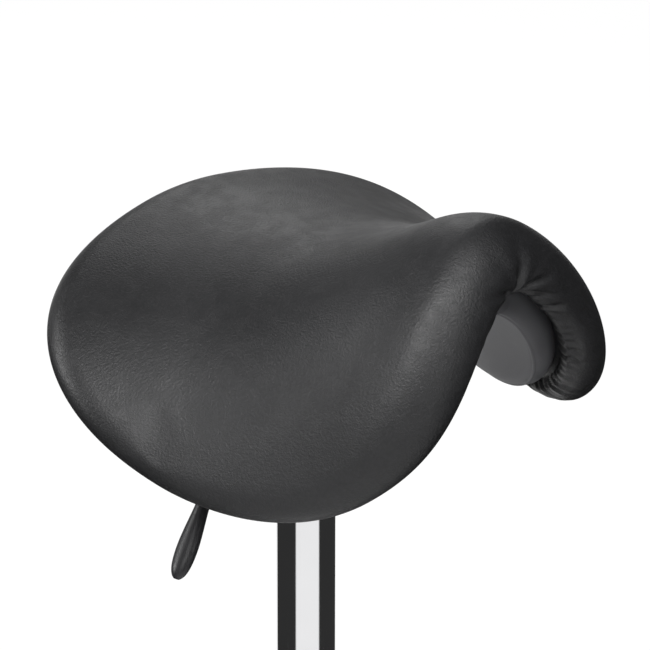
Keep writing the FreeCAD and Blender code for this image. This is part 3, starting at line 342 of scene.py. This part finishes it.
def foam_finish():
    """Open-cell foam; each pore is painted darker towards its centre as shade in its hollow."""
    f = Finish("foam", IOR=1.3)
    pores_and_shade = f.cells(700.0)
    # painted shade: colour darkens towards each pore's centre, where the bump dents it
    base = f.ramp(pores_and_shade, (0.0, (0.42, 0.36, 0.24)), (0.7, (0.78, 0.72, 0.56)))
    f.surface(Base_Color=base, Roughness=f.range(pores_and_shade, 0.0, 1.0, 0.95, 0.85))
    f.bump(pores_and_shade, 0.0003, 0.6)
    return f.material


class Finishes:
    """One material for each of the record's slots."""

    def __init__(self):
        self.made = {}

    def of(self, slot):
        colours = bpy.context.scene.stool_finishes
        makers = {
            "leatherette": lambda: leatherette_finish(colours.leatherette),
            "foam": foam_finish,
            "ply": ply_finish,
            "pan_plastic": lambda: pan_finish(colours.pan),
            "zinc_steel": lambda: steel_finish(slot, (0.62, 0.63, 0.62), 0.3),
            "black_screws": lambda: powder_finish(slot, (0.03, 0.03, 0.03)),
            "black_steel": lambda: powder_finish(slot, (0.02, 0.02, 0.022)),
            "black_plastic": lambda: satin_plastic_finish(slot, colours.plastic),
            "chromed_steel": lambda: chrome_finish(colours.chrome),
            "bush_plastic": lambda: satin_plastic_finish(slot, colours.plastic, 0.35),
            "bright_steel": lambda: steel_finish(slot, (0.72, 0.72, 0.72), 0.16),
            "buffer_rubber": rubber_finish,
            "wheel_plastic": lambda: satin_plastic_finish(slot, shade(colours.plastic, 0.9), 0.3),
        }
        if slot not in self.made:
            self.made[slot] = makers[slot]()
        return self.made[slot]


FINISHES = Finishes()


# Saddle surface

def between(front, middle, back, share):
    """Quadratic through three values at shares 0, 0.5 and 1."""
    return (front * (1 - share) * (1 - 2 * share) + 4 * middle * share * (1 - share)
            + back * share * (2 * share - 1))


class Saddle:
    """The curved middle surface of the seat; lengths in metres."""

    LOWEST = -18 * MM
    WIDEST = -22 * MM
    RIDGE_HALF = (29 * MM, 38 * MM)
    RIDGE_CURVE = (1 / (44 * MM), 1 / (290 * MM), 1 / (300 * MM))
    FLANK_CURVE = (1 / (163 * MM), 1 / (230 * MM), 1 / (1100 * MM))
    POMMEL_RISE = 82 * MM
    NOSE_DROP = 37 * MM
    TAIL_RISE = 14 * MM
    LEAN = math.radians(21)

    def __init__(self, settings):
        self.half_girth = settings.half_girth
        self.front = settings.front_reach
        self.back = settings.back_reach
        self.height = settings.height

    def ridge_height(self, y):
        if y < self.LOWEST:
            share = (self.LOWEST - y) / (self.LOWEST + self.front)
            nose = max(0.0, (share - 0.6) / 0.4) ** 2
            return self.POMMEL_RISE * share ** 1.55 - self.NOSE_DROP * nose
        share = (y - self.LOWEST) / (self.back - self.LOWEST)
        return self.TAIL_RISE * share ** 2.1

    def half_width(self, y):
        if y < self.WIDEST:
            share, fullness, corner = (self.WIDEST - y) / (self.WIDEST + self.front), 2.9, 2.0
        else:
            share, fullness, corner = (y - self.WIDEST) / (self.back - self.WIDEST), 2.5, 2.4
        return self.half_girth * max(0.0, 1 - min(share, 1.0) ** fullness) ** (1 / corner)

    def point(self, girth, y, offset):
        """Point over the middle surface at a girth from the ridge and a place along Y."""
        share = (y + self.front) / (self.front + self.back)
        ridge = between(*self.RIDGE_CURVE, share)
        flank = max(between(*self.FLANK_CURVE, share), 0.5)
        ridge_half = self.RIDGE_HALF[0] * (1 - share) + self.RIDGE_HALF[1] * share
        side = 1 if girth >= 0 else -1
        first = min(abs(girth), ridge_half) * ridge
        tilt = first + max(0.0, abs(girth) - ridge_half) * flank
        x = math.sin(first) / ridge + (math.sin(tilt) - math.sin(first)) / flank
        drop = (1 - math.cos(first)) / ridge + (math.cos(first) - math.cos(tilt)) / flank
        x = side * (x + offset * math.sin(tilt))
        up = offset * math.cos(tilt) - drop
        lean = self.LEAN * (1 - share)
        base = self.height + self.ridge_height(y)
        return Vector((x, y + up * math.sin(lean), base + up * math.cos(lean)))

    def edge(self, heading, centre_y):
        """Place of the pad's edge in the flat (girth, y) plan, seen from the centre."""
        across, along = math.sin(heading), -math.cos(heading)
        near, far = 0.0, 0.4
        for _ in range(36):
            reach = (near + far) / 2
            y = centre_y + reach * along
            inside = -self.front < y < self.back and abs(reach * across) < self.half_width(y)
            near, far = (reach, far) if inside else (near, reach)
        return Vector((near * across, centre_y + near * along))


class Rim:
    """The pad's edge as headings round the seat, with inward directions and a length."""

    COUNT = 720

    def __init__(self, saddle):
        self.centre = Vector((0.0, -28 * MM))
        turn = 2 * math.pi / self.COUNT
        self.edges = [saddle.edge(i * turn, self.centre.y) for i in range(self.COUNT)]
        self.inward = []
        self.lengths = [0.0]
        for i, edge in enumerate(self.edges):
            along = self.edges[(i + 2) % self.COUNT] - self.edges[i - 2]
            normal = Vector((-along.y, along.x)).normalized()
            if normal.dot(self.centre - edge) < 0:
                normal.negate()
            self.inward.append(normal)
            self.lengths.append(self.lengths[-1] + (self.edges[(i + 1) % self.COUNT] - edge).length)

    def at(self, heading):
        """Edge, inward direction and length round the rim at a heading."""
        step = heading / (2 * math.pi) % 1.0 * self.COUNT
        i = int(step) % self.COUNT
        share = step - int(step)
        after = (i + 1) % self.COUNT
        edge = self.edges[i].lerp(self.edges[after], share)
        inward = self.inward[i].lerp(self.inward[after], share)
        length = self.lengths[i] * (1 - share) + self.lengths[i + 1] * share
        return edge, inward, length


# Cushion

TOP_END, ROLL_END, TUCK_END = 0.44, 0.71, 0.82
SKIN = 0.5 * MM
CORNER = 8 * MM
HEM = 19.8 * MM
CLOTH_FRAMES = 14
HELD_PAST = 0.02
FOLDS_FROM = 0.03
FOLD_REACH = 5
FOLD_START = 3 * MM
FOLDS_CLEAR = (72, 64)
BEAD_INSET, BEAD_HALF, BEAD_RISE, BEAD_SINK = 39 * MM, 1.8 * MM, 1.1 * MM, 0.1 * MM
BEAD_RAY = (-90 * MM, -30 * MM)


class RimSection:
    """Cross section of the rim: a round roll that turns up into the crevice with a tighter round."""

    def __init__(self, half, tuck):
        self.half = half
        across = tuck - CORNER - half
        down = math.sqrt((half - CORNER) ** 2 - across ** 2)
        self.turn = math.pi - math.asin(-across / (half - CORNER))
        self.corner = half + across, -down
        self.stop = 2 * math.pi - math.acos((down - HEM) / CORNER)
        self.lengths = self.turn * half, (self.stop - self.turn) * CORNER

    def at(self, meridian):
        """Inset from the edge and offset from the middle surface."""
        if meridian < ROLL_END:
            angle = self.turn * (meridian - TOP_END) / (ROLL_END - TOP_END)
            return self.half * (1 - math.sin(angle)), self.half * math.cos(angle)
        share = (meridian - ROLL_END) / (TUCK_END - ROLL_END)
        angle = self.turn + (self.stop - self.turn) * share
        return (self.corner[0] - CORNER * math.sin(angle),
                self.corner[1] + CORNER * math.cos(angle))

    def run(self, meridian):
        """Length along the section from the crevice."""
        if meridian < ROLL_END:
            share = (ROLL_END - meridian) / (ROLL_END - TOP_END)
            return self.lengths[1] + share * self.lengths[0]
        return self.lengths[1] * (TUCK_END - meridian) / (TUCK_END - ROLL_END)


def pull_to_saddle(mesh, saddle, rim, section):
    """Pull a ball of cube faces to the cushion, and keep where each vertex came from."""
    meridians = mesh.verts.layers.float.new("meridian")
    lengths = mesh.verts.layers.float.new("around")
    for vertex in mesh.verts:
        way = vertex.co.normalized()
        meridian = math.acos(max(-1.0, min(1.0, way.z))) / math.pi
        edge, inward, length = rim.at(math.atan2(way.x, -way.y))
        if meridian < TOP_END:
            plan = rim.centre.lerp(edge + inward * section.half, meridian / TOP_END)
            offset = section.half
        else:
            inset, offset = section.at(min(meridian, TUCK_END))
            plan = edge + inward * inset
            if meridian > TUCK_END:
                plan = rim.centre.lerp(plan, (1 - meridian) / (1 - TUCK_END))
        vertex.co = saddle.point(plan.x, plan.y, offset)
        vertex[meridians] = meridian
        vertex[lengths] = length


def new_piece(name, mesh):
    """An object at the origin from a finished bmesh."""
    data = bpy.data.meshes.new(name)
    mesh.to_mesh(data)
    mesh.free()
    for face in data.polygons:
        face.use_smooth = True
    piece = bpy.data.objects.new(name, data)
    bpy.context.scene.collection.objects.link(piece)
    return piece


def cube_ball(detail):
    """A ball made of a cube's divided faces."""
    mesh = bmesh.new()
    bmesh.ops.create_cube(mesh, size=2.0)
    bmesh.ops.subdivide_edges(mesh, edges=mesh.edges[:], cuts=detail - 1, use_grid_fill=True)
    for vertex in mesh.verts:
        vertex.co = Vector([math.tan(c * math.pi / 4) for c in vertex.co]).normalized()
    return mesh


def fill_cover(piece, cap):
    """Blow the cover up a little over the foam, as a cloth under pressure."""
    rest = [v.co.copy() for v in piece.data.vertices]
    held = piece.vertex_groups.new(name="held")
    meridians = piece.data.attributes["meridian"].data
    for i, entry in enumerate(meridians):
        if entry.value > ROLL_END + HELD_PAST:
            held.add([i], 1.0, "REPLACE")
    cloth = piece.modifiers.new("cover", "CLOTH")
    cloth.settings.quality = 6
    cloth.settings.mass = 0.4
    cloth.settings.tension_stiffness = 25
    cloth.settings.compression_stiffness = 20
    cloth.settings.shear_stiffness = 12
    cloth.settings.bending_stiffness = 6
    cloth.settings.use_pressure = True
    cloth.settings.uniform_pressure_force = 3.0
    cloth.settings.vertex_group_mass = held.name
    cloth.settings.effector_weights.gravity = 0.0
    cloth.collision_settings.use_collision = False
    scene = bpy.context.scene
    scene.frame_start, scene.frame_end = 1, CLOTH_FRAMES
    cloth.point_cache.frame_start, cloth.point_cache.frame_end = 1, CLOTH_FRAMES
    for frame_number in range(1, CLOTH_FRAMES + 1):
        scene.frame_set(frame_number)
    graph = bpy.context.evaluated_depsgraph_get()
    moved = [v.co.copy() for v in piece.evaluated_get(graph).data.vertices]
    piece.modifiers.remove(cloth)
    piece.vertex_groups.remove(held)
    scene.frame_set(1)
    for vertex, start, end in zip(piece.data.vertices, rest, moved):
        step = end - start
        if step.length > cap:
            step *= cap / step.length
        vertex.co = start + step


class Fold:
    """One fold of the cover, where it is gathered into the crevice."""

    def __init__(self, place, depth, length, width, slant=0.0):
        self.place, self.depth = place * MM, depth * MM
        self.length, self.width, self.slant = length * MM, width * MM, slant

    def height(self, beside, run):
        """Rise of the surface beside the fold's line; negative in its valley."""
        away = abs(beside - self.slant * run)
        width = self.width * (0.6 + 0.8 * run / self.length)
        if run > self.length or away > FOLD_REACH * width:
            return 0.0
        fade = (1 - run / self.length) ** 0.95 * min(1.0, run / FOLD_START)
        valley = math.exp(-(away / width) ** 2)
        crest = math.exp(-((away - 2.3 * width) / (1.2 * width)) ** 2)
        return self.depth * fade * (0.45 * crest - valley)


def folds_round(perimeter):
    """Uneven folds all round the crevice, and deeper ones that fan out from the pommel's pinch."""
    chance = random.Random(11)
    folds = [Fold(*values) for values in (
        (-8, 3.6, 42, 3.6, -1.4), (-4, 5.2, 56, 3.8, -0.7), (0, 6.0, 70, 4.2, 0.1),
        (4, 5.2, 56, 3.8, 0.8), (8, 3.8, 42, 3.6, 1.5), (-46, 2.4, 32, 3.4), (52, 2.6, 34, 3.4))]
    place, clear_after = FOLDS_CLEAR
    while place < perimeter / MM - clear_after:
        depth = chance.choice((1.0, 1.9, 2.8, 3.6))
        folds.append(Fold(place, depth, chance.uniform(22, 40), chance.uniform(2.3, 3.3),
                          chance.uniform(-0.3, 0.3)))
        place += chance.uniform(9, 19)
    return folds


class STOOL_OT_cushion(Operator):
    """Cushion: leatherette cover over the moulded saddle pad"""
    bl_idname = "stool.cushion"
    bl_label = "Cushion"

    def execute(self, context):
        settings = context.scene.stool_cushion
        saddle = Saddle(settings)
        rim = Rim(saddle)
        section = RimSection(settings.thickness / 2 - SKIN, settings.tuck)
        mesh = cube_ball(settings.detail)
        pull_to_saddle(mesh, saddle, rim, section)
        bmesh.ops.recalc_face_normals(mesh, faces=mesh.faces[:])
        cover = new_piece("cushion_cover", mesh)
        fill_cover(cover, settings.swell)
        self.refine(cover)
        self.gather(cover, rim.lengths[-1], section)
        cover.data.materials.append(FINISHES.of("leatherette"))
        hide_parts("seat_cover", "seat_foam")
        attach(cover, "seat")
        return {"FINISHED"}

    def refine(self, cover):
        """One level of subdivision, made part of the mesh."""
        level = cover.modifiers.new("smooth", "SUBSURF")
        level.levels = level.render_levels = 1
        graph = bpy.context.evaluated_depsgraph_get()
        data = bpy.data.meshes.new_from_object(cover.evaluated_get(graph))
        cover.modifiers.remove(level)
        cover.data = data

    def gather(self, cover, perimeter, section):
        """Press the folds into the rim's inner side."""
        folds = folds_round(perimeter)
        data = cover.data
        meridians = [entry.value for entry in data.attributes["meridian"].data]
        arounds = [entry.value for entry in data.attributes["around"].data]
        moves = []
        for vertex, meridian, around in zip(data.vertices, meridians, arounds):
            if not TOP_END + FOLDS_FROM < meridian < TUCK_END:
                continue
            run = section.run(meridian)
            rise = 0.0
            for fold in folds:
                beside = (around - fold.place + perimeter / 2) % perimeter - perimeter / 2
                rise += fold.height(beside, run)
            if rise:
                moves.append((vertex, vertex.normal * rise))
        for vertex, move in moves:
            vertex.co += move


# Bead on the pan

class STOOL_OT_bead(Operator):
    """Raised line that runs round just inside the pan's border"""
    bl_idname = "stool.bead"
    bl_label = "Pan Bead"

    def execute(self, context):
        saddle = Saddle(context.scene.stool_cushion)
        rim = Rim(saddle)
        pan = frame["nodes"]["underside_pan"].data
        skin = BVHTree.FromPolygons([v.co for v in pan.vertices], [f.vertices for f in pan.polygons])
        mesh = bmesh.new()
        bmesh.ops.create_grid(mesh, x_segments=360, y_segments=6, size=1.0)
        for vertex in mesh.verts:
            edge, inward, _ = rim.at(math.pi * vertex.co.x)
            across = vertex.co.y
            plan = edge + inward * (BEAD_INSET + BEAD_HALF * across)
            outside, inside = (saddle.point(plan.x, plan.y, offset) for offset in BEAD_RAY)
            place, normal, _, _ = skin.ray_cast(outside, (inside - outside).normalized())
            if place is None:
                place, normal = inside, (outside - inside).normalized()
            vertex.co = place + normal * (BEAD_RISE * math.cos(across * math.pi / 2) - BEAD_SINK)
        bmesh.ops.remove_doubles(mesh, verts=mesh.verts[:], dist=0.05 * MM)
        bmesh.ops.recalc_face_normals(mesh, faces=mesh.faces[:])
        bead = new_piece("pan_bead", mesh)
        bead.data.materials.append(FINISHES.of("pan_plastic"))
        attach(bead, "seat")
        return {"FINISHED"}


# Finishes of the rigid nodes

class STOOL_OT_finishes(Operator):
    """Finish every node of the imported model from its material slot"""
    bl_idname = "stool.finishes"
    bl_label = "Finishes"

    def execute(self, context):
        for name, obj in frame["nodes"].items():
            obj.data.materials.clear()
            obj.data.materials.append(FINISHES.of(SLOT_OF[name]))
        return {"FINISHED"}


# Studio

LIT_HEADING = math.radians(219.7)
LIT_SKEW = math.radians(-6.0)
LIT_HALF = math.radians(45.0)
DARK_HEADING = math.radians(-60.0)


def flat_material(name, colour, rough):
    f = Finish(name, Roughness=rough)
    f.surface(Base_Color=(*colour[:3], 1.0))
    return f


class STOOL_OT_studio(Operator):
    """Floor, world, lamps and camera"""
    bl_idname = "stool.studio"
    bl_label = "Studio"

    def execute(self, context):
        settings = context.scene.stool_studio
        context.scene.view_settings.view_transform = "Standard"
        self.floor(settings)
        self.world(context.scene)
        self.lamps()
        self.camera(context.scene, settings)
        return {"FINISHED"}

    def floor(self, settings):
        """Pale floor; to glossy rays it glows as a painted reflection in one wedge in front of and one
        behind the stool, and is dark between them.
        """
        mesh = bmesh.new()
        bmesh.ops.create_grid(mesh, x_segments=1, y_segments=1, size=12.0)
        floor = new_piece("studio_floor", mesh)
        f = flat_material("studio_floor", settings.floor, 0.9)
        path = f.add("ShaderNodeLightPath")
        ahead = f.add("ShaderNodeMapping", {"vector_type": "TEXTURE"}, {
            "Vector": f.place(), "Rotation": (0.0, 0.0, LIT_HEADING)})["Vector"]
        spot = f.add("ShaderNodeSeparateXYZ", None, {"Vector": ahead})
        angle = f.math("ARCTAN2", spot["Y"], spot["X"]) + LIT_SKEW
        swing = f.math("ABSOLUTE", angle)
        # painted reflection: the floor emits for glossy rays only inside these wedges, so bright metal
        # shows a bright stripe
        lit = f.range(swing, LIT_HALF - 0.05, LIT_HALF + 0.05, 1.0, 0.0)
        behind = f.range(swing, math.pi - 0.5, math.pi - 0.4, 0.0, 1.0)
        level = f.math("MAXIMUM", lit, behind) * 0.92 + 0.03
        glow = f.add("ShaderNodeEmission", None, {"Color": (1, 1, 1, 1), "Strength": level})["Emission"]
        pale = f.add("ShaderNodeEmission", None, {"Color": (1, 1, 1, 1), "Strength": 1.07})["Emission"]
        seen = f.add("ShaderNodeMixShader", None, {
            0: path["Is Camera Ray"] * 0.9, 1: Wire(f, f.shader.outputs["BSDF"]), 2: pale})["Shader"]
        mixed = f.add("ShaderNodeMixShader", None, {
            0: path["Is Glossy Ray"], 1: seen, 2: glow})["Shader"]
        f.feed(f.tree.nodes["Material Output"].inputs["Surface"], mixed)
        floor.data.materials.append(f.material)

    def world(self, scene):
        """White to the camera; softer in diffuse light and shaped for glossy reflections."""
        world = bpy.data.worlds.new("studio")
        scene.world = world
        world.use_nodes = True
        f = Finish.of_world(world)
        path = f.add("ShaderNodeLightPath")
        way = f.add("ShaderNodeSeparateXYZ", None, {
            "Vector": f.add("ShaderNodeTexCoord")["Generated"]})
        horizon = f.range(way["Z"], 0.0, 0.5, 0.33, 0.04)
        overhead = f.range(way["Z"], 0.75, 0.95, 0.0, 0.2)
        turned = way["X"] * math.cos(DARK_HEADING) + way["Y"] * math.sin(DARK_HEADING)
        away = f.range(turned, -0.3, 0.5, 1.0, 0.05)
        glossy = horizon * away + overhead
        seen = f.math("MAXIMUM", path["Is Camera Ray"], path["Is Transmission Ray"])
        level = path["Is Glossy Ray"] * glossy + (1 - path["Is Glossy Ray"]) * 0.13 * away
        f.feed(f.shader.inputs["Color"], (1, 1, 1, 1))
        f.feed(f.shader.inputs["Strength"], seen + (1 - seen) * level)

    def lamp(self, name, place, size, power):
        data = bpy.data.lights.new(name, "AREA")
        data.shape = "SQUARE"
        data.size = size
        data.energy = power
        lamp = bpy.data.objects.new(name, data)
        lamp.location = place
        lamp.rotation_euler = (Vector((0, 0, 0.48)) - lamp.location).to_track_quat("-Z", "Y").to_euler()
        bpy.context.scene.collection.objects.link(lamp)

    def lamps(self):
        """Softboxes; their powers come from a match of the photograph's tones and are rounded."""
        for name, place, size, power in (
                ("left_high_softbox", (-1.4, 2.0, 2.2), 1.0, 23),
                ("left_low_softbox", (-1.9, 2.0, 1.0), 0.5, 24),
                ("front_softbox", (-2.6, -1.2, 2.4), 1.4, 28),
                ("overhead_softbox", (-1.2, -0.8, 2.6), 0.8, 30),
                ("pommel_softbox", (-0.2, -1.6, 2.7), 0.6, 27),
                ("front_right_softbox", (-0.7, -2.7, 1.4), 0.8, 9),
                ("back_softbox", (1.8, 1.6, 1.9), 1.0, 9)):
            self.lamp(name, place, size, power)

    def camera(self, scene, settings):
        data = bpy.data.cameras.new("studio_camera")
        data.lens = settings.lens
        data.sensor_width = 36.0
        data.shift_x, data.shift_y = 19 / 650, 4.8 / 650
        data.clip_end = 60.0
        camera = bpy.data.objects.new("studio_camera", data)
        back = Vector((math.sin(settings.azimuth) * math.cos(settings.elevation),
                       -math.cos(settings.azimuth) * math.cos(settings.elevation),
                       math.sin(settings.elevation)))
        camera.location = Vector((0, 0, 0.485)) + back * settings.distance
        camera.rotation_euler = (-back).to_track_quat("-Z", "Y").to_euler()
        scene.collection.objects.link(camera)
        scene.camera = camera


class STOOL_PT_panel(Panel):
    """Buttons that dress the stool"""
    bl_idname = "STOOL_PT_panel"
    bl_label = "Saddle Stool"
    bl_space_type = "VIEW_3D"
    bl_region_type = "UI"
    bl_category = "Stool"

    def draw(self, context):
        for operator in OPERATORS:
            self.layout.operator(operator.bl_idname)
        for group in ("stool_cushion", "stool_finishes", "stool_studio"):
            settings = getattr(context.scene, group)
            box = self.layout.box()
            for name in settings.__annotations__:
                box.prop(settings, name)


SETTINGS = {"stool_cushion": CushionSettings, "stool_finishes": FinishSettings,
            "stool_studio": StudioSettings}
OPERATORS = (STOOL_OT_finishes, STOOL_OT_cushion, STOOL_OT_bead, STOOL_OT_studio)


def register():
    for kind in (*SETTINGS.values(), *OPERATORS, STOOL_PT_panel):
        bpy.utils.register_class(kind)
    for name, kind in SETTINGS.items():
        setattr(bpy.types.Scene, name, PointerProperty(type=kind))


def unregister():
    for name in SETTINGS:
        delattr(bpy.types.Scene, name)
    for kind in reversed((*SETTINGS.values(), *OPERATORS, STOOL_PT_panel)):
        bpy.utils.unregister_class(kind)


def main():
    register()
    bpy.ops.stool.finishes()
    bpy.ops.stool.cushion()
    bpy.ops.stool.bead()
    bpy.ops.stool.studio()


if __name__ == "__main__":
    main()
